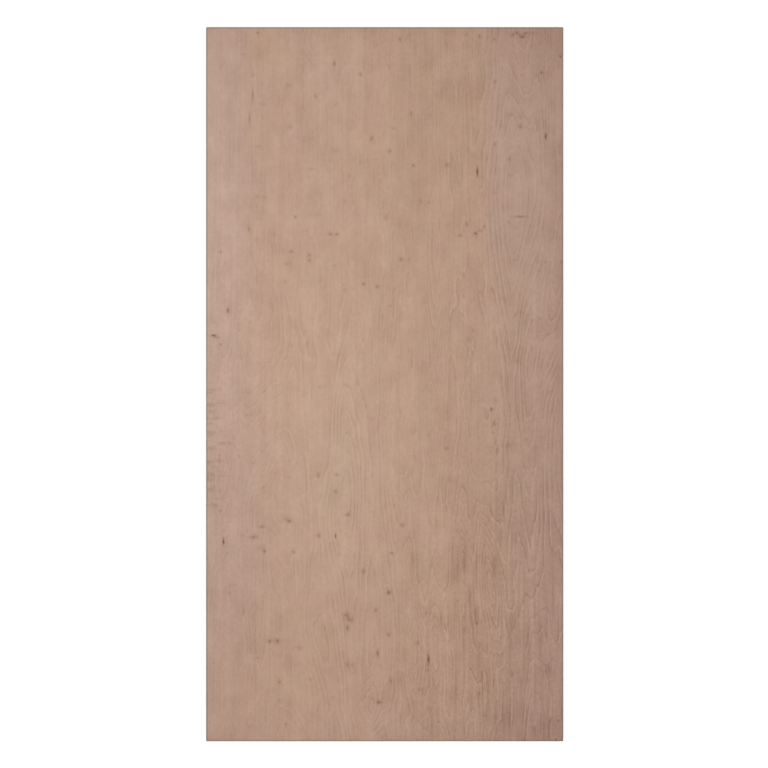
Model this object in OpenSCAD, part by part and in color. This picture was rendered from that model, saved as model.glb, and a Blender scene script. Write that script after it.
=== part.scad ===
// Plywood sheet: one full sheet of hardwood plywood, lying flat with its better face up.
// The origin is at the middle of the underside. X runs across the sheet, Y along the
// grain of its faces, and Z up through its thickness. All sizes are in millimetres.

/* [Sheet] */
// Length of the sheet, along the grain of the face veneers
sheet_length = 2440; // [300:1:3660]
// Width of the sheet, across the grain of the face veneers
sheet_width = 1220; // [150:1:1830]
// Thickness of the sheet, from face to face
sheet_thickness = 18; // [3:0.5:50]

/* [Edges] */
// How far the sawn arrises round both faces are eased, along each surface
arris_ease = 0.4; // [0.1:0.05:1]
// How far the four upright corners are blunted by handling, along each edge
corner_ease = 0.8; // [0.1:0.05:3]

/* [Hidden] */

// A rectangle centred on the origin, with each corner cut off at 45 degrees
module eased_rectangle(across, along, ease) {
    x = across / 2;
    y = along / 2;
    polygon([
        [ease - x, -y], [x - ease, -y],
        [x, ease - y], [x, y - ease],
        [x - ease, y], [ease - x, y],
        [-x, y - ease], [-x, ease - y]
    ]);
}

// The outline that the panel saw leaves, seen from above, carried up through the thickness
module trimmed_outline() {
    linear_extrude(sheet_thickness)
        eased_rectangle(sheet_width, sheet_length, corner_ease);
}

// The section across the sheet, carried along its length
module long_edges_section() {
    translate([0, sheet_length / 2, sheet_thickness / 2])
        rotate([90, 0, 0])
            linear_extrude(sheet_length)
                eased_rectangle(sheet_width, sheet_thickness, arris_ease);
}

// The section along the sheet, carried across its width
module short_edges_section() {
    translate([-sheet_width / 2, 0, sheet_thickness / 2])
        rotate([90, 0, 90])
            linear_extrude(sheet_width)
                eased_rectangle(sheet_length, sheet_thickness, arris_ease);
}

// The whole sheet, where the outline and the two sections meet
module plywood_sheet() {
    color([0.71, 0.59, 0.51])
        intersection() {
            trimmed_outline();
            long_edges_section();
            short_edges_section();
        }
}

plywood_sheet();
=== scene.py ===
# %% [markdown]
# This lesson dresses one full sheet of hardwood plywood. The sheet lies flat with its better
# face up, and the camera looks straight down on it.
#
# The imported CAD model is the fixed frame: it gives the size of the sheet and where it lies.
# Everything below is worked out from that box, in the same frame, so nothing has to be fitted.

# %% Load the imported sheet
import math

import bpy
import numpy as np
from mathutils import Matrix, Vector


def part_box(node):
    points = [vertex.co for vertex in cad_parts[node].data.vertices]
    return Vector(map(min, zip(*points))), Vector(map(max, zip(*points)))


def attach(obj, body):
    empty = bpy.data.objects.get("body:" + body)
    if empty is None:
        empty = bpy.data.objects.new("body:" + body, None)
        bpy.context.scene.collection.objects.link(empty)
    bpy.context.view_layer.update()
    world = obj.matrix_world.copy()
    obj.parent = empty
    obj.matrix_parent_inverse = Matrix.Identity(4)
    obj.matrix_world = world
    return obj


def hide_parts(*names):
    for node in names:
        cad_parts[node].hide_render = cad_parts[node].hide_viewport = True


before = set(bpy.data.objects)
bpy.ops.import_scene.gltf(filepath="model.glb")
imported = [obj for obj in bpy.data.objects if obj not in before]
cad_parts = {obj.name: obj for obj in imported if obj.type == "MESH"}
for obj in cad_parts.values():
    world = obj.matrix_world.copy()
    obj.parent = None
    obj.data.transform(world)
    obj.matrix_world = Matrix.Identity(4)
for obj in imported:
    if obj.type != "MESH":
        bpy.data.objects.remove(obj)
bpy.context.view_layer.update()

MM = 0.001
sheet_low, sheet_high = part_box("plywood_sheet")
WIDTH, LENGTH, THICKNESS = ((sheet_high - sheet_low) / MM)[:]
print(f"sheet: {WIDTH:.1f} x {LENGTH:.1f} x {THICKNESS:.1f} mm")

# %% [markdown]
# The photograph looks squarely at the face, so its edges are straight and parallel. Four
# numbers read from it, the places of the sheet's edges in the picture, are enough to set the
# camera: the sheet's real length divided by its length in pixels is the size of one pixel.
#
# An orthographic camera would give the same picture, but a long lens from far away behaves
# like a real one when the view is turned.

# %% The camera above the sheet
PICTURE_PX = 768
PHOTO_LEFT_PX, PHOTO_RIGHT_PX = 205.6, 563.7
PHOTO_TOP_PX, PHOTO_BOTTOM_PX = 27.2, 741.3
CAMERA_HEIGHT_MM = 10000
SENSOR_MM = 36
VIEW_DEPTH_M = 200

MM_PER_PX = LENGTH / (PHOTO_BOTTOM_PX - PHOTO_TOP_PX)
MIDDLE_X_PX = (PHOTO_LEFT_PX + PHOTO_RIGHT_PX) / 2
MIDDLE_Y_PX = (PHOTO_TOP_PX + PHOTO_BOTTOM_PX) / 2


def on_sheet(x_px, y_px):
    """A place in the photograph as millimetres across and along the sheet, from its middle."""
    across = (np.asarray(x_px, float) - MIDDLE_X_PX) * MM_PER_PX
    along = (MIDDLE_Y_PX - np.asarray(y_px, float)) * MM_PER_PX
    return across, along


lens = bpy.data.cameras.new("long_lens")
lens.sensor_width = SENSOR_MM
lens.lens = SENSOR_MM * CAMERA_HEIGHT_MM / (PICTURE_PX * MM_PER_PX)
lens.clip_end = VIEW_DEPTH_M
camera = bpy.data.objects.new("camera", lens)
bpy.context.scene.collection.objects.link(camera)
bpy.context.scene.camera = camera
camera_across, camera_along = on_sheet(PICTURE_PX / 2, PICTURE_PX / 2)
camera.location = (camera_across * MM, camera_along * MM, (THICKNESS + CAMERA_HEIGHT_MM) * MM)
print(f"camera: {lens.lens:.1f} mm lens, one pixel is {MM_PER_PX:.3f} mm on the sheet")

# %% [markdown]
# Materials are built from nodes, and one small function adds any of them: it makes the node,
# sets it up, and fills its inputs. An input that is given a socket is linked to it, and one
# that is given a number or a colour is set to that.
#
# Colours are written as people read them, in sRGB hex, and one function turns them into the
# linear values that a renderer adds up.

# %% Helpers for materials
# Sockets of a Mix node that mixes colours: the share, the two colours and the result.
MIX_SHARE, MIX_FROM, MIX_TO, MIX_OUT = 0, 6, 7, 2


def linear(hex_colour):
    """Linear red, green, blue and alpha of a hex colour, by the sRGB curve."""
    levels = np.array([int(hex_colour[i:i + 2], 16) for i in (1, 3, 5)]) / 255
    curved = np.where(levels <= 0.04045, levels / 12.92, ((levels + 0.055) / 1.055) ** 2.4)
    return (*curved.tolist(), 1.0)


def add(tree, kind, inputs=None, **settings):
    """Adds one shader node with its settings, and links or sets its inputs."""
    made = tree.nodes.new("ShaderNode" + kind)
    for name, value in settings.items():
        setattr(made, name, value)
    for name, value in (inputs or {}).items():
        if isinstance(value, bpy.types.NodeSocket):
            tree.links.new(value, made.inputs[name])
        else:
            made.inputs[name].default_value = value
    return made


def new_material(name):
    """An empty material, its node tree and its output node."""
    material = bpy.data.materials.new(name)
    material.use_nodes = True
    material.node_tree.nodes.clear()
    return material, material.node_tree, add(material.node_tree, "OutputMaterial")


print(f"the middle of the hex scale is {linear('#808080')[0]:.3f} in linear light")

# %% [markdown]
# The sheet was photographed on plain white. Here it lies on a wide pale floor under an even
# sky and one broad soft sun, which together light a level surface so that a colour renders
# about as it is written. A small lift on the rays that show a background takes the open floor
# up to white, and the soft contact shadow round the sheet stays.

# %% Floor
FLOOR_HALF_M = 40
FLOOR_GAP_M = 0.0004
FLOOR_LIFT = 0.38
PAPER = "#ECECEC"
WHITE = "#FFFFFF"


def seen_rays(tree):
    """One for rays that show a background: from the camera, a mirror or through glass."""
    path = add(tree, "LightPath").outputs
    mirrored = add(tree, "Math", {0: path["Is Camera Ray"], 1: path["Is Glossy Ray"]}, operation="MAXIMUM")
    return add(tree, "Math", {0: mirrored.outputs[0], 1: path["Is Transmission Ray"]},
               operation="MAXIMUM").outputs[0]


floor_corners = np.array([(-1, -1), (1, -1), (1, 1), (-1, 1)]) * FLOOR_HALF_M
floor_mesh = bpy.data.meshes.new("studio_floor")
floor_mesh.from_pydata([(x, y, -FLOOR_GAP_M) for x, y in floor_corners.tolist()], [], [(0, 1, 2, 3)])
floor = bpy.data.objects.new("studio_floor", floor_mesh)
bpy.context.scene.collection.objects.link(floor)

paper, tree, output = new_material("white_paper_sweep")
matt = add(tree, "BsdfDiffuse", {"Color": linear(PAPER)})
lift = add(tree, "Math", {0: seen_rays(tree), 1: FLOOR_LIFT}, operation="MULTIPLY")
glow = add(tree, "Emission", {"Color": linear(WHITE), "Strength": lift.outputs[0]})
both = add(tree, "AddShader", {0: matt.outputs[0], 1: glow.outputs[0]})
tree.links.new(both.outputs[0], output.inputs["Surface"])
floor_mesh.materials.append(paper)
print(f"floor: {2 * FLOOR_HALF_M} m square, {FLOOR_GAP_M / MM} mm under the sheet")

# %% [markdown]
# A sky of one even white lights the sheet from all round, and the sun adds a little direction.
# Its disc is far wider than the real one, as a studio's soft box is, so shadows have no hard
# rim. Where a background shows, the sky is plain white whatever its light.

# %% Sky and sun
SKY_STRENGTH = 0.66
SUN_STRENGTH = 1.02
SUN_WIDTH_DEG = 60
SUN_TILT_DEG = (8, -10, 0)

sky = bpy.data.worlds.new("even_sky")
sky.use_nodes = True
bpy.context.scene.world = sky
sky.node_tree.nodes.clear()
brightness = add(sky.node_tree, "MapRange", {
    "Value": seen_rays(sky.node_tree), "To Min": SKY_STRENGTH, "To Max": 1.0})
air = add(sky.node_tree, "Background", {"Color": linear(WHITE), "Strength": brightness.outputs[0]})
add(sky.node_tree, "OutputWorld", {"Surface": air.outputs[0]})

sun = bpy.data.objects.new("soft_sun", bpy.data.lights.new("soft_sun", "SUN"))
sun.data.energy = SUN_STRENGTH
sun.data.angle = math.radians(SUN_WIDTH_DEG)
sun.rotation_euler = np.radians(SUN_TILT_DEG)
bpy.context.scene.collection.objects.link(sun)
bpy.context.scene.view_settings.view_transform = "Standard"
print(f"sky of {SKY_STRENGTH} and sun of {SUN_STRENGTH} are in place")

# %% [markdown]
# The face of the sheet is one peeled veneer: a log turned against a long knife, which unrolls
# it like paper. The knife keeps running in and out of the same growth rings, so they show as
# long islands and pointed arches instead of straight lines.
#
# That gives a way to draw them. One number at each point says how many rings deep the knife
# ran there, and the lines of the figure are the contours of that number. Two things make it
# up: smooth random waves, and a cone-shaped hill wherever the photograph shows an island or
# an arch. Here are the waves and the outline of an island.

# %% Smooth noise and islands
NOISE_WAVES = 28
NOISE_SPREAD = 0.8
POINTED = 1.5
BLUNT = 0.004
ISLANDS_PX = [
    # Middle x and y, half width and half length in photograph pixels, lean in degrees, rings.
    (519, 198, 38, 182, 1.2, 4.6), (348, 550, 40, 236, 0, 4.4), (342, 500, 24, 90, 10, 2.6),
    (342, 412, 14, 100, 0, 1.8), (266, 425, 38, 115, 22, 3.4), (303, 690, 30, 104, -10, 4),
    (276, 570, 20, 66, -8, 2.6), (516, 638, 14, 48, 3, 1.9), (464, 562, 9, 36, -3, 3),
    (436, 652, 10, 48, -2, 3), (415, 655, 13, 62, 0, 3.4), (416, 760, 15, 52, 0, 3.8),
    (440, 762, 15, 48, 4, 3.4), (372, 706, 15, 54, 6, 3.6), (463, 604, 15, 102, -2, 2.4),
    (491, 586, 17, 94, -9, 4.4), (596, 400, 66, 210, 12, 11), (604, 690, 62, 230, 2, 11),
    (312, 40, 22, 44, 0, 4), (311, 206, 17, 48, 3, 1.6), (386, 217, 9, 13, 0, 2),
    (207, 184, 18, 96, 0, 4), (430, 397, 12, 38, 0, 2.8), (438, 250, 18, 130, 0, 4),
    (222, 470, 18, 110, 0, 3.6),
]


def soft_noise(across, along, wave, seed):
    """Smooth noise of unit spread: the sum of cosine waves in random directions, about
    wave[0] mm from crest to crest across the grain and wave[1] mm along it."""
    draw = np.random.default_rng(seed)
    turns = draw.normal(size=(NOISE_WAVES, 2)) * (2 * np.pi / np.array(wave)) * NOISE_SPREAD
    phase = draw.uniform(0, 2 * np.pi, NOISE_WAVES)
    angle = np.multiply.outer(across, turns[:, 0]) + np.multiply.outer(along, turns[:, 1]) + phase
    return np.cos(angle).sum(-1) * math.sqrt(2 / NOISE_WAVES)


def own_shares(across, along, spot, lean=0.0):
    """How far a place is from the middle of a spot, across and along the spot's own axes, as
    shares of its half sizes. A spot starts with its middle x and y and its half width and half
    length, in photograph pixels. The lean, in degrees, turns its axes clockwise."""
    x_px, y_px, half_width, half_length, *_ = spot
    middle_across, middle_along = on_sheet(x_px, y_px)
    right, up = across - middle_across, along - middle_along
    turn = math.radians(lean)
    width_share = (right * math.cos(turn) - up * math.sin(turn)) / (half_width * MM_PER_PX)
    length_share = (right * math.sin(turn) + up * math.cos(turn)) / (half_length * MM_PER_PX)
    return width_share, length_share


def island_reach(across, along, island):
    """Distance from an island's middle as a share of its own size. The two shares are blunted
    near nought and added as powers between a diamond's 1 and an oval's 2, which gives the
    island pointed ends."""
    shares = own_shares(across, along, island, lean=island[4])
    return sum(np.sqrt(share ** 2 + BLUNT) ** POINTED for share in shares) ** (1 / POINTED)


print(f"{len(ISLANDS_PX)} islands of growth rings")

# %% [markdown]
# The ring count adds them up. Its broad waves are about eight times longer along the grain
# than across it. Towards the top end of the sheet they grow four times longer still, so the
# lines run straighter there. Near an island the waves are calmed, or they would break its
# outline.
#
# Lines drawn from the count alone would swell where the rings lie far apart, so the distance
# from one ring to the next, the pitch, is measured as well.

# %% Growth rings under the knife
BROAD_MM, BROAD_RINGS = (190, 1500), 2.5
FINE_MM, FINE_RINGS = (60, 190), 0.18
TOP_RATE, TURN_MM = 0.25, 350
FOOT = 0.03
CALM_REACH, CALM_SHARE = 1.5, 0.85
CLOSENESS = 1.5
PITCH_REACH_MM = 1.5
LEAST_CHANGE = 0.02


def rings_cut(across, along, seed, islands):
    """How many rings deep the knife ran: broad waves and fine ripples, calmed by a bell curve
    round each island, plus a cone for each island that eases into the level round its foot,
    all times the closeness of the rings. Below the middle of the sheet the broad waves are
    read at the full distance along it, and above the middle at a slower rate."""
    below = TURN_MM * np.logaddexp(0, -along / TURN_MM)
    run = TOP_RATE * along - (1 - TOP_RATE) * below
    waves = BROAD_RINGS * soft_noise(across, run, BROAD_MM, seed)
    waves += FINE_RINGS * soft_noise(across, along, FINE_MM, seed + 1)
    hills = np.zeros_like(across)
    calm = np.zeros_like(across)
    for island in islands:
        reach = island_reach(across, along, island)
        hills += island[-1] * (1 - reach + np.sqrt((1 - reach) ** 2 + FOOT)) / 2
        calm = np.maximum(calm, np.exp(-(reach / CALM_REACH) ** 2))
    return CLOSENESS * (waves * (1 - CALM_SHARE * calm) + hills)


def ring_pitch(across, along, seed, islands):
    """Millimetres from one ring to the next: one over the slope of the ring count, which is
    its change between two places a little apart, across and along."""
    changes = []
    for right, up in ((PITCH_REACH_MM, 0), (0, PITCH_REACH_MM)):
        ahead = rings_cut(across + right, along + up, seed, islands)
        behind = rings_cut(across - right, along - up, seed, islands)
        changes.append(ahead - behind)
    return 2 * PITCH_REACH_MM / (np.hypot(*changes) + LEAST_CHANGE)


FACE_SEED, BACK_SEED = 7, 70
middle_line = np.linspace(-WIDTH / 2, WIDTH / 2, round(WIDTH))
middle_pitch = ring_pitch(middle_line, np.zeros_like(middle_line), FACE_SEED, ISLANDS_PX)
print(f"rings across the middle of the face lie {np.median(middle_pitch):.1f} mm apart")

# %% [markdown]
# The colour of a veneer drifts too. Sapwood, heartwood and the way the sheet has aged give
# broad patches, lighter or darker, and the darker corners and ends are painted shade, where
# the light falls off. Each patch is one soft blot with a middle, a size and an amount. They
# were placed to match the photograph, and corrected where the render still measured lighter
# or darker. Amounts of tone are in steps of the 0 to 255 scale that colours are read in, so
# they can be compared with a picture directly.

# %% Lighter and darker patches
TONE_AND_SHADE_PATCHES_PX = [
    # Middle x and y, half width and half height in photograph pixels, steps lighter.
    (285, 370, 190, 260, 20), (300, 60, 160, 110, 6), (345, 480, 40, 110, 3),
    (525, 400, 40, 90, -2), (545, 600, 60, 170, -6), (540, 60, 40, 60, -4), (450, 40, 60, 60, -3),
    (230, 320, 40, 90, 2), (206, 190, 15, 100, 5), (562, 215, 12, 90, -5), (562, 510, 14, 60, -4),
    (490, 510, 18, 40, -3), (492, 700, 10, 36, -4), (257, 50, 8, 9, -4), (406, 400, 18, 330, -2),
    (225, 712, 20, 26, 2), (228, 345, 10, 30, 1.5), (450, 110, 30, 60, -1.5),
    (272, 165, 20, 50, -2), (220, 45, 18, 22, 3), (455, 330, 40, 70, 2), (350, 735, 150, 45, 4),
    (520, 735, 80, 40, -4), (437, 420, 8, 50, -4), (427, 712, 16, 26, -5), (497, 600, 24, 14, 2.5),
    (545, 645, 9, 32, -4), (210, 460, 8, 80, -2.5),
    # One pale streak that runs down the sheet, and the browner figure beside it.
    (430, 520, 8, 50, 4), (440, 610, 8, 50, 4), (446, 665, 8, 24, 3), (460, 561, 4.5, 17, -3.5),
    (473, 562, 3, 18, 5), (469, 597, 3, 9, -9), (476, 623, 3.5, 11, -5), (464, 644, 3.5, 16, -5),
    (493, 562, 5, 14, -2.5), (505, 634, 2.5, 26, 2), (548, 668, 4, 8, -5), (508, 700, 7, 30, -2),
    (412, 564, 5, 10, -2),
    # Painted shade: darker corners and ends, where the light falls off.
    (563, 30, 30, 30, -7), (206, 28, 25, 25, -6), (563, 741, 40, 40, -5), (206, 741, 30, 30, -4),
    (385, 745, 200, 9, -4), (385, 24, 200, 8, -4),
]


def blots(across, along, patches):
    """Sum of soft blots, each its amount times a bell curve over its own size."""
    total = np.zeros_like(across)
    for patch in patches:
        width_share, height_share = own_shares(across, along, patch)
        total += patch[-1] * np.exp(-(width_share ** 2 + height_share ** 2) / 2)
    return total


print(f"{len(TONE_AND_SHADE_PATCHES_PX)} patches of tone")

# %% [markdown]
# Hue drifts in the same way, between yellow and cool and between rosy and green. So do two
# things about the grain: how much the rings stand out, and how lively the fine grain is. All
# four are shares that the materials below multiply in. Each has one level for plain wood on
# the face, which its patches raise or lower, and one for the whole back.

# %% Patches of hue and of figure
DRIFTS_PX = {
    # Level on the face, level on the back, and the patches: middle x and y, half width and
    # half height in photograph pixels, and the share more.
    "warm": (0.72, 0.6, [
        # More of the yellow cast, or less of it where the wood is cooler.
        (200, 384, 40, 500, -0.75), (572, 384, 50, 500, -0.85), (224, 150, 20, 120, -0.35),
        (220, 480, 20, 110, -0.4), (526, 110, 28, 80, -0.45), (335, 75, 40, 45, -0.3),
        (318, 190, 22, 60, -0.3), (262, 50, 12, 12, 0.5), (228, 705, 22, 30, 0.35),
        (474, 130, 10, 60, 0.25), (496, 130, 9, 60, -0.35), (479, 190, 6, 55, 0.35),
        (495, 190, 8, 60, -0.4), (420, 750, 160, 30, -0.3), (405, 230, 90, 170, 0.3),
        (272, 330, 45, 55, 0.25), (466, 640, 40, 90, 0.35), (460, 561, 6, 20, 0.4),
        (412, 564, 6, 12, 0.5), (493, 562, 7, 15, 0.4), (285, 690, 60, 50, 0.2),
    ]),
    "rosy": (0.83, 0.8, [
        # More of the rosy cast, or less of it where the wood is greener.
        (210, 180, 16, 120, -1.1), (320, 70, 18, 60, -0.4), (450, 110, 30, 60, -0.35),
        (232, 125, 14, 45, -0.5), (536, 160, 26, 85, -1), (328, 470, 42, 75, -0.7),
        (480, 430, 12, 40, -0.3), (479, 190, 7, 55, 0.5), (385, 760, 300, 70, 0.25),
        (418, 716, 30, 26, 0.9), (530, 730, 50, 50, 0.5), (460, 580, 14, 60, 0.5),
        (412, 564, 6, 12, 0.4), (400, 365, 22, 26, 0.3), (210, 460, 12, 80, -0.6),
        (212, 555, 10, 40, -0.4),
    ]),
    "figure": (0.6, 0.8, [
        # Rings that stand out more, or less.
        (500, 590, 65, 110, 1.4), (345, 430, 60, 120, 0.7), (515, 200, 45, 170, 1),
        (518, 195, 16, 80, -0.9), (526, 75, 24, 36, 0.9), (515, 340, 24, 40, 0.5),
        (450, 260, 28, 70, 0.7), (300, 640, 60, 80, 0.35), (277, 525, 18, 55, -0.45),
        (548, 560, 22, 200, 0.5), (480, 722, 80, 34, 1), (270, 360, 45, 70, 0.2),
        (516, 640, 18, 44, 0.8), (517, 642, 8, 26, -1.9), (343, 350, 26, 40, 0.6),
    ]),
    "lively": (0.85, 1.0, [
        # Livelier fine grain.
        (525, 640, 90, 160, 0.8), (470, 40, 70, 40, 0.3), (230, 480, 40, 110, 0.2),
    ]),
}
print({name: len(patches) for name, (_, _, patches) in DRIFTS_PX.items()}, "patches")

# %% [markdown]
# A few marks on the face are open: short splits and one loose knot that the sander left as
# shallow hollows. They are real hollows in the mesh. The face is a grid of points, and extra
# grid lines are worked in where a hollow needs them, so that the rest can stay coarse.

# %% The sanded face and the back as grids
HOLLOWS_PX = [
    # Middle x and y, half width and half length in photograph pixels, depth in millimetres.
    (477.3, 171.2, 1.5, 5.6, 0.7), (428.3, 658.3, 1.4, 6, 0.7), (519.5, 216.3, 8, 1.3, 0.5),
    (348.6, 619.5, 3.4, 7.5, 0.6), (223, 541, 1.3, 4, 0.5), (546, 136, 1.2, 4, 0.5),
]
# Extra grid lines through a hollow, in half sizes from its middle.
HOLLOW_LINES = np.array([-1.3, -0.95, -0.5, 0, 0.5, 0.95, 1.3])
FACE_STEP_MM = (6.4, 12.5)
BACK_STEP_MM = (24, 40)
GRID_MARGIN_MM = 3
TWIN_MM = 0.5
RIPPLE_MM, RIPPLE_WAVE_MM, RIPPLE_SEED = 0.05, (110, 900), 41


def grid_lines(size, step, extra):
    """Even lines from margin to margin, with extra ones worked in and near twins dropped."""
    half = size / 2 - GRID_MARGIN_MM
    even = np.linspace(-half, half, round(2 * half / step) + 1)
    lines = np.unique(np.concatenate([even, extra]).round(3))
    return lines[np.diff(lines, prepend=-size) > TWIN_MM]


def pressed_level(across, along):
    """How far the sanded face lies under its flat top: a slow ripple from the plies below,
    never above the top, plus a smooth bowl for each open mark, its depth times the square of
    one less the squared distance."""
    level = RIPPLE_MM * (1 + np.tanh(soft_noise(across, along, RIPPLE_WAVE_MM, RIPPLE_SEED))) / 2
    for hollow in HOLLOWS_PX:
        reach = np.clip(np.hypot(*own_shares(across, along, hollow)), 0, 1)
        level += hollow[-1] * (1 - reach ** 2) ** 2
    return level


hollows = np.array(HOLLOWS_PX)
hollow_across, hollow_along = on_sheet(hollows[:, 0], hollows[:, 1])
extra_across = hollow_across[:, None] + np.outer(hollows[:, 2], HOLLOW_LINES) * MM_PER_PX
extra_along = hollow_along[:, None] + np.outer(hollows[:, 3], HOLLOW_LINES) * MM_PER_PX
face_across = grid_lines(WIDTH, FACE_STEP_MM[0], extra_across.ravel())
face_along = grid_lines(LENGTH, FACE_STEP_MM[1], extra_along.ravel())
back_across = grid_lines(WIDTH, BACK_STEP_MM[0], [])
back_along = grid_lines(LENGTH, BACK_STEP_MM[1], [])
face_x, face_y = np.meshgrid(face_across, face_along, indexing="ij")
back_x, back_y = np.meshgrid(back_across, back_along, indexing="ij")
face_z = THICKNESS - pressed_level(face_x, face_y)
back_z = np.zeros_like(back_x)
print(f"face grid {face_x.shape}, back grid {back_x.shape}")

# %% [markdown]
# The edges show how the sheet is made: thin veneers glued one on another, each with its grain
# square to its neighbours'. Eleven of them make up this thickness. The edge band is a profile
# carried along a path, and the profile is this stack, read from the top face down to the back.
#
# Each glue line gets four rows of points: its own two rims, and two more in the ply under it.
# The lowest glue line has only the thin back veneer under it, so those two are left out there.

# %% The stack of plies as a profile
PLIES = 11
FACE_PLY_MM = 0.6
GLUE_MM = 0.16
ARRIS_MM = 0.4
IS_GLUE = -1

core_ply = (THICKNESS - 2 * FACE_PLY_MM) / (PLIES - 2)
glue_level = THICKNESS - FACE_PLY_MM - core_ply * np.arange(PLIES - 1)
from_glue = np.array([GLUE_MM / 2, -GLUE_MM / 2, -core_ply / 3, -2 * core_ply / 3])
glue_rows = len(from_glue)
inner_level = np.add.outer(glue_level, from_glue).ravel()[:-2]
inner_ply = np.repeat(np.arange(1, PLIES), glue_rows)[:-2]
inner_is_rim = np.tile([True, True, False, False], PLIES - 1)[:-2]
gap_under = np.where(np.arange(len(inner_ply)) % glue_rows == 0, IS_GLUE, inner_ply)

row_level = np.concatenate([[THICKNESS, THICKNESS - ARRIS_MM], inner_level, [ARRIS_MM, 0]])
row_ply = np.concatenate([[0, 0], inner_ply, [PLIES - 1, PLIES - 1]])
row_is_rim = np.concatenate([[False, False], inner_is_rim, [False, False]])
gap_ply = np.concatenate([[0, 0], gap_under, [PLIES - 1]])
print(f"{PLIES} plies, cores {core_ply:.2f} mm thick, {len(row_level)} rows in the profile")

# %% [markdown]
# The path is the outline of the sheet, four straight sides with blunted corners. It is cut
# into columns, and each column is one copy of the profile.

# %% The outline as a path
CORNER_MM = 0.8
EDGE_STEP_MM = 9.5

side_start = np.array([(-1, -1), (1, -1), (1, 1), (-1, 1)]) * np.array([WIDTH, LENGTH]) / 2
side_run = np.array([(1, 0), (0, 1), (-1, 0), (0, -1)], float)
side_inward = np.array([(0, 1), (-1, 0), (0, -1), (1, 0)], float)
side_size = np.array([WIDTH, LENGTH, WIDTH, LENGTH])
side_places = [
    np.concatenate([[CORNER_MM / 2],
                    np.linspace(CORNER_MM, size - CORNER_MM, round(size / EDGE_STEP_MM))])
    for size in side_size
]
column_side = np.repeat(np.arange(4), [len(places) for places in side_places])
column_place = np.concatenate(side_places)
columns, rows = len(column_place), len(row_level)
at_corner = np.isclose(column_place, CORNER_MM / 2)[:, None]
short_edge = column_side % 2 == 0
print(f"edge band: {columns} columns of {rows} points")

# %% [markdown]
# A saw leaves no edge quite flat. On the long edges the odd plies from the top are cut along
# their grain and the even ones across it, and on the short edges it is the other way round.
# Cut across, the wood tears a little and lies lower. The arris has lost a few chips, mostly at
# the short ends, where the face veneer is cut across, and the glue lines wander a little
# because the veneers under them aren't even.

# %% Sawn edges
EDGE_SEED = 18
END_GRAIN_MM, LONG_GRAIN_MM, LEAST_TORN = 0.11, 0.04, 0.45
GLUE_INSET_MM = 0.02
CHIP_MM, LONG_EDGE_CHIP = 1.1, 1 / 3
CHIP_MEAN, CHIP_SPREAD = -0.6, 0.7
WANDER_MM, WANDER_COLUMNS = 0.03, 6

draw = np.random.default_rng(EDGE_SEED)
cut_across = (row_ply[None, :] % 2 == 0) == short_edge[:, None]
torn = np.where(cut_across, END_GRAIN_MM, LONG_GRAIN_MM)
inset = torn * draw.uniform(LEAST_TORN, 1.0, (columns, rows))
inset[:, row_is_rim] = GLUE_INSET_MM
# The rows just inside the two arrises have the full size of the sheet.
inset[:, [1, -2]] = 0
# Most draws are below nought, which leaves no chip.
chips = np.clip(draw.normal(CHIP_MEAN, CHIP_SPREAD, columns), 0, 1) * CHIP_MM
inset[:, 0] = ARRIS_MM + np.where(short_edge, chips, chips * LONG_EDGE_CHIP)
inset[:, -1] = ARRIS_MM
jolts = draw.normal(size=(columns, PLIES - 1))
beside = range(-WANDER_COLUMNS, WANDER_COLUMNS + 1)
wander = WANDER_MM * sum(np.roll(jolts, shift, axis=0) for shift in beside)
band_z = np.tile(row_level, (columns, 1))
band_z[:, 2:-2] += np.repeat(wander, glue_rows, axis=1)[:, :-2]

run = (column_place[:, None] + at_corner * inset)[..., None]
depth = (at_corner * CORNER_MM / 2 + inset)[..., None]
start, ahead, inward = (lines[column_side][:, None, :] for lines in (side_start, side_run, side_inward))
band_xy = start + run * ahead + depth * inward
print(f"edges: up to {inset.max():.2f} mm cut back, glue up to {np.abs(wander).max():.2f} mm off level")

# %% [markdown]
# Three surfaces now have to become one closed skin: the face, the back and the edge band. The
# grids stop a little short of the edge, and a strip of triangles closes each seam like a zip.
# The two sides of a zip have different spacings, so the zip walks along both at once and
# always closes the segment whose middle comes first.

# %% Points and seams
back_first = face_x.size
band_first = back_first + back_x.size
points = np.concatenate([
    np.stack([face_x, face_y, face_z], -1).reshape(-1, 3),
    np.stack([back_x, back_y, back_z], -1).reshape(-1, 3),
    np.concatenate([band_xy, band_z[..., None]], -1).reshape(-1, 3),
])


def border(shape, first):
    """Point numbers along the four sides of a grid, anticlockwise from its first corner."""
    numbers = first + np.arange(shape[0] * shape[1]).reshape(shape)
    return [numbers[:, 0], numbers[-1, :], numbers[::-1, -1], numbers[0, ::-1]]


def zip_sides(inner, inner_share, outer, outer_share):
    """Triangles between two rows of points that run the same way, facing up when the inner
    row is on the left. Shares are places along the side, from 0 to 1."""
    inner_middle = (inner_share[1:] + inner_share[:-1]) / 2
    outer_middle = (outer_share[1:] + outer_share[:-1]) / 2
    outer_mate = outer[np.searchsorted(outer_middle, inner_middle, side="left")]
    inner_mate = inner[np.searchsorted(inner_middle, outer_middle, side="right")]
    return np.concatenate([np.stack([inner[:-1], outer_mate, inner[1:]], 1),
                           np.stack([outer[:-1], outer[1:], inner_mate], 1)])


def seam(grid_across, grid_along, first, row):
    """The zip between a grid's border and one row of the edge band, all round."""
    triangles = []
    for side, inner in enumerate(border((len(grid_across), len(grid_along)), first)):
        lines = (grid_across, grid_along, -grid_across[::-1], -grid_along[::-1])[side]
        inner_share = (lines - lines[0]) / (lines[-1] - lines[0])
        numbers = np.flatnonzero(column_side == side)
        numbers = np.append(numbers, (numbers[-1] + 1) % columns)
        outer_share = np.append(column_place[column_side == side] / side_size[side], 1)
        outer_share[0] = 0
        triangles.append(zip_sides(inner, inner_share, band_first + numbers * rows + row, outer_share))
    return np.concatenate(triangles)


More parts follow.
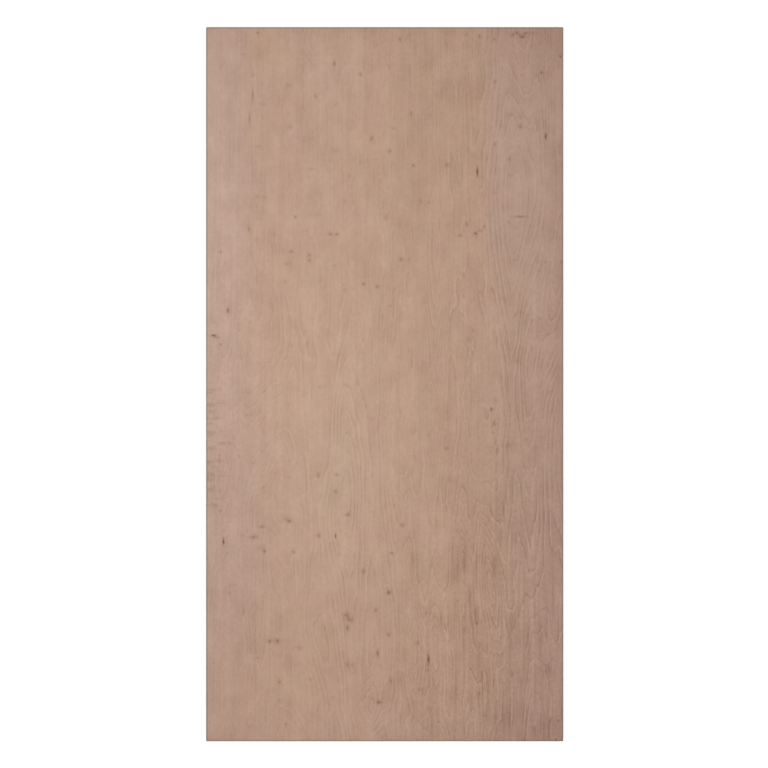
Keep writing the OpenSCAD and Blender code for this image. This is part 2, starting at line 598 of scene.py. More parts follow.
face_seam = seam(face_across, face_along, 0, 0)
back_seam = seam(back_across, back_along, back_first, rows - 1)[:, ::-1]
print(f"{len(points)} points, {len(face_seam) + len(back_seam)} triangles in the seams")

# %% [markdown]
# The rest of the skin is squares. A face shows its outer side where its corners run
# anticlockwise, so those of the back are turned round, and those of the edge band run down
# one column and up the next.

# %% Squares of the skin
def grid_quads(shape, first):
    """Squares of a grid of points, facing up."""
    numbers = first + np.arange(shape[0] * shape[1]).reshape(shape)
    around = [numbers[:-1, :-1], numbers[1:, :-1], numbers[1:, 1:], numbers[:-1, 1:]]
    return np.stack(around, -1).reshape(-1, 4)


face_quads = grid_quads(face_x.shape, 0)
back_quads = grid_quads(back_x.shape, back_first)[:, ::-1]
column, gap = np.meshgrid(np.arange(columns), np.arange(rows - 1), indexing="ij")
corner_column = np.stack([column, column, column + 1, column + 1], -1).reshape(-1, 4)
corner_row = np.stack([gap, gap + 1, gap + 1, gap], -1).reshape(-1, 4)
band_quads = band_first + corner_column % columns * rows + corner_row
quads = np.concatenate([face_quads, back_quads, band_quads])
triangles = np.concatenate([face_seam, back_seam])
print(f"{2 * len(quads) + len(triangles)} triangles in all")

# %% [markdown]
# A picture wrapped on the sheet needs a layout: where each bit of skin lies on the flat map.
# The face takes most of it, the back and the four edges lie below, and nothing overlaps. The
# map is stretched, so that the width of the sheet, across the fine lines of the grain, gets
# more dots than its length.

# %% Lay the skin out flat
MAP_MARGIN = 0.006
FACE_ON_MAP = (0.40, 0.994)
BACK_ON_MAP = (0.21, 0.39)
EDGES_ON_MAP = (0.006, 0.2)
STRIP_MARGIN, STRIP_SHARE = 0.04, 0.9


def flat_layout(numbers, band):
    """Map places of a face's points: its share of the width and of the length of the sheet."""
    share = points[numbers][..., :2] / np.array([WIDTH, LENGTH]) + 0.5
    across = MAP_MARGIN + share[..., 0] * (1 - 2 * MAP_MARGIN)
    along = band[0] + share[..., 1] * (band[1] - band[0])
    return np.stack([across, along], -1)


quad_side = np.repeat(column_side, rows - 1)
quad_size = side_size[quad_side][:, None]
past_end = column_side[corner_column % columns] != quad_side[:, None]
along_side = np.where(past_end, quad_size, column_place[corner_column % columns])
up_edge = 1 - np.linspace(0, 1, rows)[corner_row]
strip_height = (EDGES_ON_MAP[1] - EDGES_ON_MAP[0]) / 4
strips_up = quad_side[:, None] + STRIP_MARGIN + STRIP_SHARE * up_edge
edge_layout = np.stack([
    MAP_MARGIN + along_side / quad_size * (1 - 2 * MAP_MARGIN),
    EDGES_ON_MAP[0] + strip_height * strips_up], -1)
layout = [flat_layout(face_quads, FACE_ON_MAP), flat_layout(back_quads, BACK_ON_MAP), edge_layout,
          flat_layout(face_seam, FACE_ON_MAP), flat_layout(back_seam, BACK_ON_MAP)]
print("layout: face, back and four edge strips on one map")

# %% [markdown]
# Now the arrays go into a mesh: the places of the points, the corner lists of all faces, their
# finishes and the layout, each set in one go. A closed skin has two faces on every edge, so
# counting edges with another number shows at once if a seam is open.

# %% Make the sheet
FACE, BACK, LONG_GRAIN, END_GRAIN, GLUE = range(5)
SHARP_DEG = 20

quad_gap = np.tile(gap_ply, columns)
quad_row = np.tile(np.arange(rows - 1), columns)
quad_cut_across = (quad_gap % 2 == 0) == (quad_side % 2 == 0)
band_finish = np.where(quad_gap == IS_GLUE, GLUE, np.where(quad_cut_across, END_GRAIN, LONG_GRAIN))
band_finish[quad_row == 0] = FACE
band_finish[quad_row == rows - 2] = BACK
finish = np.concatenate([
    np.full(len(face_quads), FACE), np.full(len(back_quads), BACK), band_finish,
    np.full(len(face_seam), FACE), np.full(len(back_seam), BACK)])

corners = np.concatenate([quads.ravel(), triangles.ravel()])
sizes = np.concatenate([np.full(len(quads), 4), np.full(len(triangles), 3)])
mesh = bpy.data.meshes.new("plywood_panel")
mesh.vertices.add(len(points))
mesh.vertices.foreach_set("co", (points * MM).astype(np.float32).ravel())
mesh.loops.add(len(corners))
mesh.loops.foreach_set("vertex_index", corners.astype(np.int32))
mesh.polygons.add(len(sizes))
mesh.polygons.foreach_set("loop_start", (np.cumsum(sizes) - sizes).astype(np.int32))
mesh.polygons.foreach_set("material_index", finish.astype(np.int32))
mesh.update(calc_edges=True)
mesh.shade_smooth()
mesh.set_sharp_from_angle(angle=math.radians(SHARP_DEG))
flat_map = mesh.uv_layers.new(name="OFBake")
flat_map.data.foreach_set("uv", np.concatenate([part.reshape(-1, 2) for part in layout]).ravel())

pairs = np.concatenate([np.stack([part, np.roll(part, -1, axis=1)], -1).reshape(-1, 2)
                        for part in (quads, triangles)])
_, uses = np.unique(np.sort(pairs, axis=1), axis=0, return_counts=True)
print(f"{len(sizes)} faces, {np.count_nonzero(uses != 2)} open edges")

# %% [markdown]
# The veneer reads some numbers at each point of the mesh: the ring count and its pitch, the
# tone, and the four drifts. The back is the same wood from another part of the log, so it has
# rings and a tone of its own, with no islands and no patches.

# %% Numbers that the veneer reads
BACK_TONE, BACK_TONE_SWING = 6, 4
BACK_TONE_WAVE_MM, BACK_TONE_SEED = (400, 1600), 72

is_back = np.zeros(len(points), bool)
is_back[back_first:band_first] = True
is_back[band_first:].reshape(columns, rows)[:, rows // 2:] = True
across, along = points[:, 0], points[:, 1]
back_tone = BACK_TONE + BACK_TONE_SWING * soft_noise(across, along, BACK_TONE_WAVE_MM, BACK_TONE_SEED)
# The face's tone holds its own patches of wood and the painted shade of its corners and ends.
face_numbers = {
    "rings": rings_cut(across, along, FACE_SEED, ISLANDS_PX),
    "pitch": ring_pitch(across, along, FACE_SEED, ISLANDS_PX),
    "tone": blots(across, along, TONE_AND_SHADE_PATCHES_PX),
}
back_numbers = {
    "rings": rings_cut(across, along, BACK_SEED, []),
    "pitch": ring_pitch(across, along, BACK_SEED, []),
    "tone": back_tone,
}
for name, (face_level, back_level, patches) in DRIFTS_PX.items():
    face_numbers[name] = face_level + blots(across, along, patches)
    back_numbers[name] = back_level
for name in face_numbers:
    numbers = np.where(is_back, back_numbers[name], face_numbers[name])
    mesh.attributes.new(name, "FLOAT", "POINT").data.foreach_set("value", numbers.astype(np.float32))
    print(f"{name}: {numbers.min():.2f} to {numbers.max():.2f}")

# %% [markdown]
# The face veneer is a red hardwood, peeled and sanded: warm tan, matt, with fine lines along
# the grain. Its colour is one ramp from dark to light wood, and each thing that shades the
# wood moves a few steps along that ramp. Four sizes of noise give the grain its body: fibres,
# streaks, a mottle and a fine speckle, each longer along the grain than across it. The real
# fibres are far finer than a pixel here, so they are drawn as coarse as they need to show.

# %% Grain of the veneer
# The ramp spans 80 steps of the 0 to 255 scale, 20 from each colour to the next.
WOOD_RAMP = {0.0: "#7F6150", 0.25: "#937564", 0.5: "#A78978", 0.75: "#BB9D8C", 1.0: "#CFB1A0"}
STEP = 1 / 80
GRAIN_MM = {
    # Across the grain, along the grain, fineness, and steps of shade from end to end.
    "fibre": (5, 380, 2.0, 8),
    "streak": (30, 700, 2.0, 5),
    "mottle": (60, 85, 3.0, 13),
    "speckle": (8, 11, 2.0, 8),
}
GRAIN_ROUGHNESS = 0.6


def set_ramp(ramp_node, stops):
    """Gives a colour ramp its stops, as colours by place."""
    elements = ramp_node.color_ramp.elements
    while len(elements) < len(stops):
        elements.new(0.5)
    for element, (at, colour) in zip(elements, stops.items()):
        element.position = at
        element.color = colour


def grain_shade(tree, place, shade):
    """Adds each size of noise to a shade. The noise stays mostly within a quarter of its
    middle, so its distance from there, times twice the steps, moves the shade by half the
    steps either way. All but the mottle follow how lively the grain is there. Gives the shade
    and the noises."""
    noises = {}
    lively = add(tree, "Attribute", attribute_name="lively").outputs["Fac"]
    for key, (across, along, detail, steps) in GRAIN_MM.items():
        stretched = add(tree, "VectorMath", {0: place, 1: (1 / across, 1 / along, 1 / across)},
                        operation="MULTIPLY")
        noise = add(tree, "TexNoise", {"Vector": stretched.outputs[0], "Scale": 1.0, "Detail": detail,
                                       "Roughness": GRAIN_ROUGHNESS})
        noises[key] = noise.outputs["Fac"]
        shift = add(tree, "Math", {0: noises[key], 1: 0.5}, operation="SUBTRACT")
        grain = add(tree, "Math", {0: shift.outputs[0], 1: 2 * steps * STEP}, operation="MULTIPLY")
        shade = add(tree, "Math", {0: grain.outputs[0], 1: 1.0 if key == "mottle" else lively, 2: shade},
                    operation="MULTIPLY_ADD").outputs[0]
    return shade, noises


print(f"grain: {', '.join(GRAIN_MM)}")

# %% [markdown]
# Each growth ring ends in a thin brown line of autumn wood, with the pale wood of the next
# spring beside it. The mesh carries the ring count, so its fraction says how far through a
# ring a point lies, and times the pitch that is a distance in millimetres.
#
# Lines as clean as that look printed. So the mottle and the fibres, which are already there as
# noises, push the lines about a little, and the lines come and go with the mottle, strongest
# where it is dark.

# %% Growth ring lines
RING_STEPS = 12
LINE_HALF_MM = 9
# Place across a line, and the shade there: 0 is dark, 1 is pale, and 0.5 changes nothing.
LINE_PROFILE = {0.0: 0.5, 0.34: 0.5, 0.5: 0.04, 0.66: 0.5, 0.78: 0.92, 0.96: 0.5}
# Rings closer than the first pitch show no line, and past the second they show it in full.
NARROW_MM, CLEAR_MM = 5, 12
# How many rings each noise pushes a line by, at most.
FEATHER = {"mottle": 0.25, "fibre": 0.5}
MOTTLE_DARK, MOTTLE_PALE = 0.35, 0.65
STRONG, FAINT = 1.45, 0.3


def ring_shade(tree, noises, shade):
    """Adds a thin dark line and a pale one beside it at each ring. The fraction of the ring
    count, less a half, times the pitch is the distance from the line, which keeps all lines
    equally thin. Their depth is the figure times the strength by the mottle, and less where
    rings crowd."""
    rings, pitch, figure = (add(tree, "Attribute", attribute_name=name).outputs["Fac"]
                            for name in ("rings", "pitch", "figure"))
    count = rings
    for key, share in FEATHER.items():
        count = add(tree, "Math", {0: noises[key], 1: share, 2: count}, operation="MULTIPLY_ADD").outputs[0]
    through = add(tree, "Math", {0: count}, operation="FRACT")
    centred = add(tree, "Math", {0: through.outputs[0], 1: 0.5}, operation="SUBTRACT")
    away = add(tree, "Math", {0: centred.outputs[0], 1: pitch}, operation="MULTIPLY")
    beside = add(tree, "MapRange", {"Value": away.outputs[0], "From Min": -LINE_HALF_MM,
                                    "From Max": LINE_HALF_MM})
    profile = add(tree, "ValToRGB", {"Fac": beside.outputs[0]})
    set_ramp(profile, {at: (level, level, level, 1) for at, level in LINE_PROFILE.items()})
    shift = add(tree, "Math", {0: profile.outputs["Color"], 1: 0.5}, operation="SUBTRACT")
    clear = add(tree, "MapRange", {"Value": pitch, "From Min": NARROW_MM, "From Max": CLEAR_MM,
                                   "To Max": RING_STEPS * STEP})
    strength = add(tree, "MapRange", {"Value": noises["mottle"], "From Min": MOTTLE_DARK,
                                      "From Max": MOTTLE_PALE, "To Min": STRONG, "To Max": FAINT})
    seen = add(tree, "Math", {0: figure, 1: strength.outputs[0]}, operation="MULTIPLY")
    depth = add(tree, "Math", {0: seen.outputs[0], 1: clear.outputs[0]}, operation="MULTIPLY")
    return add(tree, "Math", {0: shift.outputs[0], 1: depth.outputs[0], 2: shade},
               operation="MULTIPLY_ADD").outputs[0]


print(f"ring lines: none where rings lie {NARROW_MM} mm apart, in full from {CLEAR_MM} mm")

# %% [markdown]
# Pin knots, gum streaks and short splits are scattered over the face. Each is a small oval
# stain, dark in its middle and fading out, so lists of places and half sizes describe them
# all. Their places were read from enlarged views of the photograph, in its pixels, and
# they were sorted into kinds by how dark it is there. Each list runs from the top of the sheet
# down. First come the plain ones.

# %% Splits, pins and gum
# Each mark is its middle x and y, then its half width and half length.
SPLITS_PX = [
    (545.8, 136.4, 0.9, 2.4), (477.4, 171.6, 0.8, 3.9), (213.6, 335.4, 2, 0.9),
    (335.6, 536, 0.7, 1.8), (223.5, 541.4, 0.8, 2.8), (428.5, 659.6, 1, 3.8),
]
PIN_KNOTS_PX = [
    (257.8, 32.8, 1.3, 1.8), (517, 33, 2.2, 2.2), (525.5, 33.4, 2, 1.2), (513.5, 34.5, 1.2, 2.2),
    (519.5, 35, 2.4, 1.2), (479.4, 36.4, 1.7, 2.2), (521.8, 37, 2.6, 1.8), (560.4, 56.4, 1.7, 2.2),
    (334.4, 63.6, 1.6, 2.8), (541.4, 72.4, 1.7, 2), (475.6, 233.4, 2.6, 2.2),
    (227.8, 310.4, 2.5, 4.2), (491.4, 409.3, 2.2, 2.2), (289.5, 521, 2.8, 2.2),
    (264.5, 551.4, 1.9, 2.4), (388.7, 592.6, 2, 2.4), (277.4, 641.2, 1.6, 2.6),
    (269.5, 641.4, 1.6, 2), (377.6, 653.4, 1.9, 5), (379, 702.2, 3.4, 2.6),
]
GUM_STREAKS_PX = [
    (523.6, 36.4, 3, 2.2), (494.4, 39.4, 1.7, 2), (400, 39.6, 1.7, 2.2), (360.4, 74.5, 2.3, 2.8),
    (494.9, 81.7, 2.1, 2.4), (252.8, 95.4, 1.3, 7.5), (315.5, 95.8, 1.6, 2.7),
    (411.4, 113.7, 1.7, 3.1), (249.5, 118.6, 1.3, 7), (520.6, 126.6, 2.2, 3.2),
    (371.4, 138.7, 2.4, 3.6), (495, 144.4, 1.6, 3.5), (389.7, 151, 2.1, 2.7),
    (509.4, 158.9, 1.7, 4), (447.4, 165, 2.6, 3.2), (413.4, 165.6, 2.1, 2.3),
    (429, 202.3, 1.6, 2.1), (519.8, 216.6, 8.4, 1.7), (295.5, 216.7, 1.7, 2.3),
    (466.7, 223.7, 1.7, 3.6), (484.2, 226.8, 1.5, 2.4), (249, 229.2, 1.4, 3.6),
    (480.4, 230.6, 2.6, 1.5), (330.4, 234.2, 2.7, 2.2), (336.7, 234.4, 2.5, 2.2),
    (460.2, 235.4, 3, 2.1), (291, 251.4, 3, 2), (220.4, 252, 1.7, 2.2), (309.5, 255.4, 2.2, 2.4),
    (401.4, 259.4, 2.5, 2.5), (309.5, 260.2, 2.2, 2.4), (561.4, 262.4, 1.5, 2),
    (363.5, 284, 2.6, 2.5), (377.5, 286.6, 3.4, 2.3), (216.4, 337.4, 3.4, 1.6),
    (220.4, 344.4, 1.7, 1.8), (494.3, 423.8, 1.9, 2.6), (446.8, 448.2, 2.6, 2.1),
    (336.6, 474.7, 3, 2.2), (318.3, 475.3, 1.7, 4), (335.9, 491.4, 2.5, 2.6),
    (347.5, 514.7, 3.4, 2.6), (402, 525.3, 3, 2.2), (262, 526.9, 4.4, 1.9), (318.8, 535.8, 2.8, 3),
    (253.5, 537.2, 5, 2.6), (293.5, 551.9, 2.8, 2.6), (391.6, 553.4, 2.6, 1.9),
    (363.4, 571.5, 2.2, 4), (375.8, 610.3, 2.1, 2.7), (425.7, 613, 1.5, 2.3),
    (346, 615.2, 2.8, 2.4), (349.4, 619.6, 2.8, 2.6), (476.7, 623.6, 2.6, 2.3),
    (347.4, 627.5, 1.9, 3.2), (388.6, 634.7, 2.6, 2.6), (418.1, 642.7, 2.1, 2.6),
    (352.5, 664.6, 1.7, 2.1), (347.4, 664.8, 2.1, 2.9), (427.7, 670.5, 1.9, 1.9),
    (391.1, 681.4, 2.2, 3.5), (279.5, 682.3, 1.9, 1.7), (419.4, 689.6, 1.9, 2.3),
    (479.6, 693.6, 2.2, 5), (428.4, 708, 1.7, 2.2), (558.4, 720.6, 1.7, 2), (286, 724, 1.7, 2.2),
]
print(f"{len(SPLITS_PX)} splits, {len(PIN_KNOTS_PX)} pin knots, {len(GUM_STREAKS_PX)} gum streaks")

# %% [markdown]
# Most marks are fainter than that: smudges where gum has soaked in, and the haloes of darker
# marks.

# %% Faint smudges
SMUDGES_PX = [
    (531, 33, 9, 1.2), (466, 34, 1.6, 2.8), (511, 36, 2, 2), (487.4, 37.4, 1.6, 1.6),
    (243.5, 54.4, 3.2, 1.4), (389.4, 66.8, 2.1, 2.6), (553.6, 68, 1.2, 4), (253, 74.8, 2.3, 2.3),
    (522, 75.4, 3.1, 1.9), (288.3, 85.3, 4.2, 2.3), (263.5, 104, 3.5, 2.3), (335.8, 105, 2.3, 3.1),
    (510.9, 114.3, 3.1, 1.7), (521.6, 116.5, 2.3, 3.5), (290.4, 126.7, 2.3, 3.5),
    (393.6, 128, 4.4, 1.7), (350.4, 128.7, 1.5, 2.7), (259, 146.7, 4.4, 1.2),
    (335.9, 150.5, 3.5, 3.1), (367, 160, 1.3, 4), (360, 163, 1.3, 5), (363.8, 164, 1.3, 4),
    (312.4, 169.2, 5.2, 1.5), (289, 174.5, 1.7, 2.7), (509.7, 174.9, 1.5, 2.3),
    (349.5, 175.8, 2.1, 2.1), (495.9, 192.8, 1.9, 1.9), (257, 196.6, 3.1, 2.2),
    (264.3, 197.4, 2.2, 2.2), (420.5, 201, 2.3, 2.6), (344.6, 201.4, 2.7, 2.7), (486, 214, 0.9, 9),
    (386.2, 217.6, 2.6, 3.4), (508.8, 222.7, 2.3, 1.9), (400.2, 224.4, 1.6, 5.2),
    (274.5, 234.7, 1.9, 2.3), (256.2, 239.8, 3.1, 1.9), (408.7, 259.5, 2.3, 1.7),
    (545, 262, 2.2, 2.2), (287.5, 264, 3, 2.3), (334.8, 265.8, 2.1, 1.9), (285.4, 281.6, 2.6, 2.1),
    (344, 285, 1.8, 1.8), (344.5, 290, 2.6, 2.6), (390, 306, 2.7, 1.5), (519.6, 312.4, 4.2, 3.4),
    (249.9, 322, 2.1, 2.1), (556, 330, 2, 5), (239.5, 330.3, 1.9, 1.9), (473.2, 330.7, 1.7, 1.7),
    (305.5, 331.7, 1.5, 2.3), (307.9, 341.7, 1.4, 6.8), (291.7, 345.7, 2.1, 1.9),
    (516.6, 361, 4.4, 3.4), (467.2, 372.8, 1.8, 3.5), (320.4, 387.3, 2.6, 1.9),
    (264.3, 391.1, 1.5, 2.1), (549, 392, 2.4, 2), (495.8, 400.4, 3.5, 3.5),
    (400.5, 410.3, 1.7, 2.3), (246, 415.3, 1.7, 1.9), (251, 415.3, 1.7, 1.7),
    (372, 419.4, 1.9, 1.9), (445.6, 429.6, 1.7, 1.9), (263.4, 431.7, 1.5, 2.7),
    (493.4, 432.8, 1.7, 1.7), (429, 434.7, 1.9, 2.3), (526.3, 440, 3.1, 3.1),
    (229.6, 443.6, 1.8, 1.8), (509, 445.4, 8, 3.5), (355.8, 447.3, 1.5, 2.3),
    (238.7, 456.3, 2.1, 2.1), (289.6, 461, 2.3, 1.7), (526.4, 467.4, 2.3, 2.3),
    (372.5, 475.2, 1.9, 3.1), (459, 476.3, 1.5, 2.3), (289.2, 477.2, 2.1, 1.5),
    (450.7, 480.2, 5, 6), (253.4, 484, 1.9, 1.9), (263.4, 487.2, 1.5, 2.3), (447, 507.4, 2.1, 2.3),
    (490.6, 510.7, 1.9, 1.9), (515.6, 511, 1.9, 1.9), (286, 519, 6, 4), (457.6, 530.8, 2.8, 2.4),
    (247, 531, 2.4, 2.4), (242.5, 535.4, 3.2, 3.8), (379.5, 535.6, 1.9, 2.7),
    (496.7, 540.6, 1.7, 2.1), (261, 548, 7, 4), (338.8, 554.5, 2.1, 2.1), (389, 592, 4, 3.6),
    (229.3, 593.2, 1.8, 2.1), (457.1, 601.1, 2.1, 2.1), (430.5, 613.1, 1.5, 2.1),
    (347.6, 617, 5, 6.4), (352, 620, 3.4, 4.6), (347.4, 629, 2.4, 6), (464.4, 630.2, 2.3, 4.4),
    (501.4, 636.7, 1.9, 1.9), (282.6, 640.5, 1.9, 1.7), (274, 641, 13, 4), (300, 647.8, 4.4, 2.7),
    (257, 658, 3.1, 1.5), (240.7, 664.5, 1.7, 1.7), (244.5, 666.5, 1.9, 1.9),
    (310.6, 679.5, 1.7, 2.3), (528.4, 680.4, 1.9, 3.6), (503.4, 683, 2.3, 1.9),
    (332.6, 697.5, 1.7, 2.1), (430.5, 700.2, 2.3, 2.3), (278.7, 700.8, 2.1, 2.3),
    (485.3, 716.3, 1.8, 2.1),
]
print(f"{len(SMUDGES_PX)} smudges")

# %% [markdown]
# Three kinds of mark belong to the figure. Thin brown edges follow the flames at the lower
# right, and one oval between them is plain inside. Near the left edge the knife chattered,
# which left a band of many short dashes. No two of those are alike, so sines with unlike
# periods shuffle their places and sizes along the band.

# %% Flames, oval and chatter
FLAME_EDGES_PX = [
    (501, 536, 1.2, 8), (452.4, 556, 1.1, 20), (413, 560, 1.8, 7), (464.6, 560, 1.1, 18),
    (494.2, 566, 2, 9), (457.6, 568, 1.5, 12), (476.2, 573, 1, 16), (469.6, 597, 1.1, 9),
    (553, 600, 1, 20), (534.6, 610, 1, 18), (475.8, 616, 1.2, 9), (441.4, 618, 1, 13),
    (546.8, 620, 1, 22), (511, 627, 1.1, 8), (558, 630, 1, 24), (427.6, 640, 1, 20),
    (528.6, 640, 1, 24), (540.6, 640, 1, 22), (463.6, 645, 1.2, 15), (510.2, 648, 1.5, 14),
    (479.2, 655, 1.1, 13), (548.6, 668, 2.4, 5), (511.8, 674, 1.3, 6), (456, 690, 1, 14),
    (488, 690, 1.1, 18), (535, 690, 1.1, 16), (471, 700, 1.1, 11), (496, 716, 1.1, 14),
    (541, 720, 1.1, 15), (432, 722, 1, 14), (548, 724, 1, 14), (504, 726, 1, 12), (464, 728, 1, 10),
]
OVALS_PX = [(517, 643, 5.6, 18.5)]
CHATTER_PX = [
    (213 + 5 * math.sin(2.4 * dash) + 4 * math.sin(7.7 * dash),
     390 + 2.7 * dash + 4 * math.sin(5.1 * dash),
     2.6 + 1.6 * math.cos(3.3 * dash),
     1.1 + 0.6 * math.sin(1.7 * dash))
    for dash in range(46)
]
MARKS_PX = [
    # Share of dark wood in the middle, how fast it falls towards the rim, and the marks.
    (0.97, 1.2, SPLITS_PX),
    (0.74, 3.0, PIN_KNOTS_PX),
    (0.50, 3.0, GUM_STREAKS_PX),
    (0.24, 3.0, SMUDGES_PX),
    (0.25, 1.6, FLAME_EDGES_PX),
    (0.04, 0.2, OVALS_PX),
    (0.24, 1.4, CHATTER_PX),
]
print(f"{sum(len(places) for _, _, places in MARKS_PX)} marks in all")

# %% [markdown]
# The shader measures how far a point is from each mark, in half sizes of that mark, and keeps
# the least. The rim of a stain isn't clean, so the place is shaken a little by noise before
# that.

# %% Stain the wood
DARK_WOOD = "#5E2A0E"
SHAKE_MM = 2.8
SHAKE_GRAIN_MM = 6
# A mark has faded out at this many half sizes from its middle.
HALO = 2.1


def marked(tree, place, colour, marks):
    """Mixes dark wood into a colour near each mark. The share falls from the middle of the
    nearest mark to its rim: one less the distance in half sizes over the halo, to the power
    of how fast it falls."""
    finer = add(tree, "VectorMath", {0: place, 1: (1 / SHAKE_GRAIN_MM,) * 3}, operation="MULTIPLY")
    noise = add(tree, "TexNoise", {"Vector": finer.outputs[0], "Scale": 1.0, "Detail": 1.0})
    ahead = add(tree, "VectorMath", {0: noise.outputs["Color"], 1: (2 * SHAKE_MM,) * 3, 2: place},
                operation="MULTIPLY_ADD")
    shaken = add(tree, "VectorMath", {0: ahead.outputs[0], 1: (-SHAKE_MM,) * 3}, operation="ADD")
    for share, fall, places in marks:
        nearest = None
        for x_px, y_px, half_width, half_length in places:
            middle = np.array(on_sheet(x_px, y_px))
            size = np.array([half_width, half_length]) * MM_PER_PX
            offset = add(tree, "VectorMath", {0: shaken.outputs[0], 1: (*(1 / size), 0),
                                              2: (*(-middle / size), 0)}, operation="MULTIPLY_ADD")
            reach = add(tree, "VectorMath", {0: offset.outputs[0]}, operation="LENGTH").outputs["Value"]
            if nearest is not None:
                reach = add(tree, "Math", {0: reach, 1: nearest}, operation="MINIMUM").outputs[0]
            nearest = reach
        inside = add(tree, "MapRange", {"Value": nearest, "From Max": HALO, "To Min": 1.0, "To Max": 0.0})
        fade = add(tree, "Math", {0: inside.outputs[0], 1: fall}, operation="POWER")
        dark = add(tree, "Math", {0: fade.outputs[0], 1: share}, operation="MULTIPLY")
        colour = add(tree, "Mix", {MIX_SHARE: dark.outputs[0], MIX_FROM: colour,
                                   MIX_TO: linear(DARK_WOOD)}, data_type="RGBA").outputs[MIX_OUT]
    return colour


print(f"marks fade out at {HALO} half sizes and are shaken by up to {SHAKE_MM} mm")

# %% [markdown]
# Hue drifts a little over the sheet as well: yellower in the middle, cooler near the edges,
# rosier at one end. Two casts, each a colour just off white, are multiplied in, by the drifts
# that the mesh carries and some cloudy noise.

# %% Drift of hue
# Each cast, and its share of the cloudy noise.
CASTS = {"warm": ("#FFFFF3", 0.8), "rosy": ("#FFFAFC", 2.4)}
CLOUD_MM = (70, 120)


def hue_drift(tree, place, colour):
    """Multiplies each cast in, by its drift plus its share of the cloudy noise, which is one
    channel of a noise in colour, less a half."""
    wide = add(tree, "VectorMath", {0: place, 1: (1 / CLOUD_MM[0], 1 / CLOUD_MM[1], 1 / CLOUD_MM[0])},
               operation="MULTIPLY")
    cloud = add(tree, "TexNoise", {"Vector": wide.outputs[0], "Scale": 1.0, "Detail": 2.0})
    channels = add(tree, "SeparateColor", {"Color": cloud.outputs["Color"]})
    for channel, (name, (cast, share)) in enumerate(CASTS.items()):
        drift = add(tree, "Attribute", attribute_name=name).outputs["Fac"]
        shift = add(tree, "Math", {0: channels.outputs[channel], 1: 0.5}, operation="SUBTRACT")
        amount = add(tree, "Math", {0: shift.outputs[0], 1: share, 2: drift}, operation="MULTIPLY_ADD",
                     use_clamp=True)
        colour = add(tree, "Mix", {MIX_SHARE: amount.outputs[0], MIX_FROM: colour, MIX_TO: linear(cast)},
                     data_type="RGBA", blend_type="MULTIPLY").outputs[MIX_OUT]
    return colour


print(f"hue: {' and '.join(CASTS)} casts in clouds of about {CLOUD_MM[0]} by {CLOUD_MM[1]} mm")

# %% [markdown]
# The face turns darker and greyer over its outer few millimetres. The distance to the
# nearest edge comes straight from the place on the sheet.

# %% Darker rim
# A dark grey mixed in over the outer millimetres of the face, strongest at the edge.
RIM_GREY = "#6A5D54"
RIM_MM = 6
RIM_SHARE = 0.85


def darker_rim(tree, place, colour):
    """Mixes a dark grey into a colour near the edges, most at the edge itself: half the size
    minus the distance from the middle line, for width and length, and the smaller of the two."""
    from_middle = add(tree, "VectorMath", {0: place}, operation="ABSOLUTE")
    from_edge = add(tree, "VectorMath", {0: (WIDTH / 2, LENGTH / 2, 0), 1: from_middle.outputs[0]},
                    operation="SUBTRACT")
    sides = add(tree, "SeparateXYZ", {"Vector": from_edge.outputs[0]})
    nearest = add(tree, "Math", {0: sides.outputs["X"], 1: sides.outputs["Y"]}, operation="MINIMUM")
    darkening = add(tree, "MapRange", {"Value": nearest.outputs[0], "From Max": RIM_MM,
                                   "To Min": RIM_SHARE, "To Max": 0.0})
    return add(tree, "Mix", {MIX_SHARE: darkening.outputs[0], MIX_FROM: colour, MIX_TO: linear(RIM_GREY)},
               data_type="RGBA").outputs[MIX_OUT]


print(f"grime reaches {RIM_MM} mm in from the edges")

# %% [markdown]
# Now the layers come together. Bare sanded wood scatters light in its cut cells, so it is
# matt, with a roughness round 0.7 and a weak mirror part, and its fibres stand a few
# hundredths of a millimetre proud. The back is the same wood without the marks.

# %% Sanded peeled veneer
WOOD_IOR, VENEER_SHINE = 1.5, 0.35
VENEER_ROUGHNESS = (0.6, 0.82)
# Relief from the darkest shade of wood to the lightest, and how much of it shows.
FIBRE_RELIEF_MM, FIBRE_RELIEF_SHARE = 0.3, 0.4


def peeled_veneer(name, marks):
    """A sanded peeled veneer: the wood ramp read by the sum of all that shades the wood, then
    its casts, its marks and its rim."""
    material, tree, output = new_material(name)
    spot = add(tree, "TexCoord").outputs["Object"]
    place = add(tree, "VectorMath", {0: spot, 1: (1 / MM,) * 3}, operation="MULTIPLY").outputs[0]
    tone = add(tree, "Attribute", attribute_name="tone").outputs["Fac"]
    shade = add(tree, "Math", {0: tone, 1: STEP, 2: 0.5}, operation="MULTIPLY_ADD").outputs[0]
    shade, noises = grain_shade(tree, place, shade)
    shade = ring_shade(tree, noises, shade)

    wood = add(tree, "ValToRGB", {"Fac": shade})
    set_ramp(wood, {at: linear(colour) for at, colour in WOOD_RAMP.items()})
    colour = hue_drift(tree, place, wood.outputs["Color"])
    colour = darker_rim(tree, place, marked(tree, place, colour, marks))

    rough = add(tree, "MapRange", {"Value": noises["fibre"], "To Min": VENEER_ROUGHNESS[0],
                                   "To Max": VENEER_ROUGHNESS[1]})
    relief = add(tree, "Bump", {"Height": shade, "Strength": FIBRE_RELIEF_SHARE,
                                "Distance": FIBRE_RELIEF_MM * MM})
    surface = add(tree, "BsdfPrincipled", {
        "Base Color": colour, "Roughness": rough.outputs[0], "IOR": WOOD_IOR,
        "Specular IOR Level": VENEER_SHINE, "Normal": relief.outputs[0]})
    tree.links.new(surface.outputs[0], output.inputs["Surface"])
    return material


face_veneer = peeled_veneer("sanded_peeled_hardwood_face", MARKS_PX)
back_veneer = peeled_veneer("peeled_hardwood_back", [])
print(f"face veneer: {len(face_veneer.node_tree.nodes)} nodes")

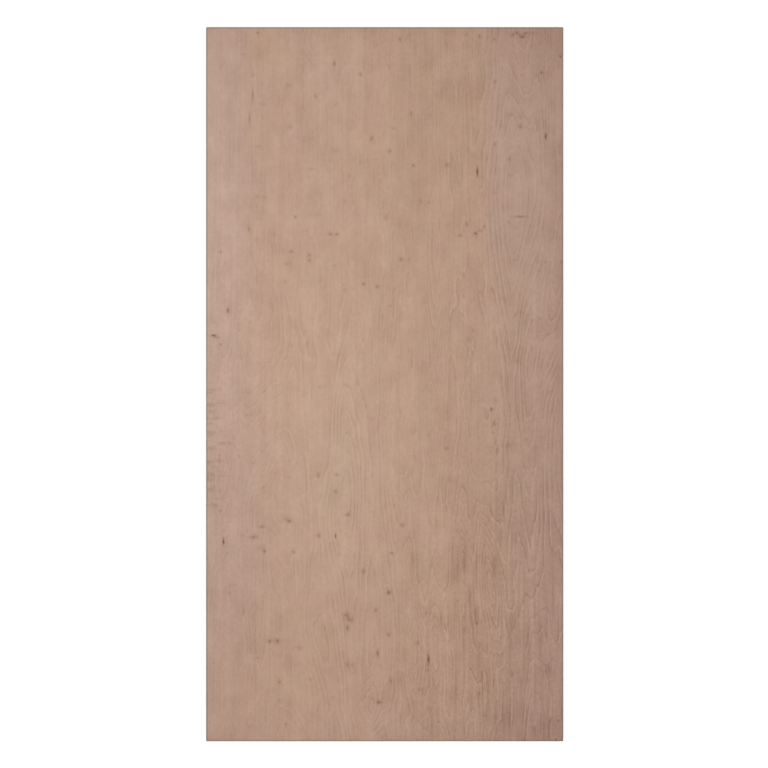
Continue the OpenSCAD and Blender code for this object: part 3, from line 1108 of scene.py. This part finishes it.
# %% [markdown]
# On the edges the plies are cut open. Long grain shows fine lines that run along the edge,
# and end grain shows the cut ends of the vessels as a darker, dotted, matt strip. Between
# them the glue has cured to thin dark brown lines. One function makes all three, because each
# is two colours mixed by a noise of its own size.

# %% Edge finishes
SAWN_SHINE = 0.3
SAWN_RELIEF_MM, SAWN_RELIEF_SHARE = 0.2, 0.5
SAWN_DETAIL, SAWN_NOISE_ROUGHNESS = 3.0, 0.65
# Noise below the first level is all dark wood, and above the second all light wood.
SAWN_DARK, SAWN_LIGHT = 0.3, 0.7


def sawn_ply(name, light, dark, grain_mm, rough):
    """A sawn ply or glue line: two colours mixed by noise of its own size in millimetres."""
    material, tree, output = new_material(name)
    spot = add(tree, "TexCoord").outputs["Object"]
    place = add(tree, "VectorMath", {0: spot, 1: tuple(1 / (size * MM) for size in grain_mm)},
                operation="MULTIPLY")
    noise = add(tree, "TexNoise", {"Vector": place.outputs[0], "Scale": 1.0, "Detail": SAWN_DETAIL,
                                   "Roughness": SAWN_NOISE_ROUGHNESS}).outputs["Fac"]
    wood = add(tree, "MapRange", {"Value": noise, "From Min": SAWN_DARK, "From Max": SAWN_LIGHT})
    colour = add(tree, "Mix", {MIX_SHARE: wood.outputs[0], MIX_FROM: linear(dark), MIX_TO: linear(light)},
                 data_type="RGBA").outputs[MIX_OUT]
    relief = add(tree, "Bump", {"Height": noise, "Strength": SAWN_RELIEF_SHARE,
                                "Distance": SAWN_RELIEF_MM * MM})
    surface = add(tree, "BsdfPrincipled", {
        "Base Color": colour, "Roughness": rough, "IOR": WOOD_IOR, "Specular IOR Level": SAWN_SHINE,
        "Normal": relief.outputs[0]})
    tree.links.new(surface.outputs[0], output.inputs["Surface"])
    return material


# Vessels are about a fifth of a millimetre wide. Their dots are drawn coarser, to show at all.
long_grain = sawn_ply("sawn_ply_long_grain", "#C2A388", "#A07E66", (60, 60, 0.35), 0.7)
end_grain = sawn_ply("sawn_ply_end_grain", "#9A7660", "#74523F", (1.3, 1.3, 1.3), 0.85)
glue_line = sawn_ply("cured_phenolic_glue", "#5E3A2A", "#3E241A", (8, 8, 8), 0.5)
print(f"edge finishes: {long_grain.name}, {end_grain.name}, {glue_line.name}")

# %% [markdown]
# The mesh now becomes one object with five finishes, in the order of their numbers above. It
# moves with the only body there is, and it stands in for the plain solid of the CAD model.

# %% Put the sheet together
panel = bpy.data.objects.new("plywood_panel", mesh)
bpy.context.scene.collection.objects.link(panel)
for material in (face_veneer, back_veneer, long_grain, end_grain, glue_line):
    mesh.materials.append(material)
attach(panel, "root")
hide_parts("plywood_sheet")
print(f"{panel.name} has {len(mesh.materials)} finishes")
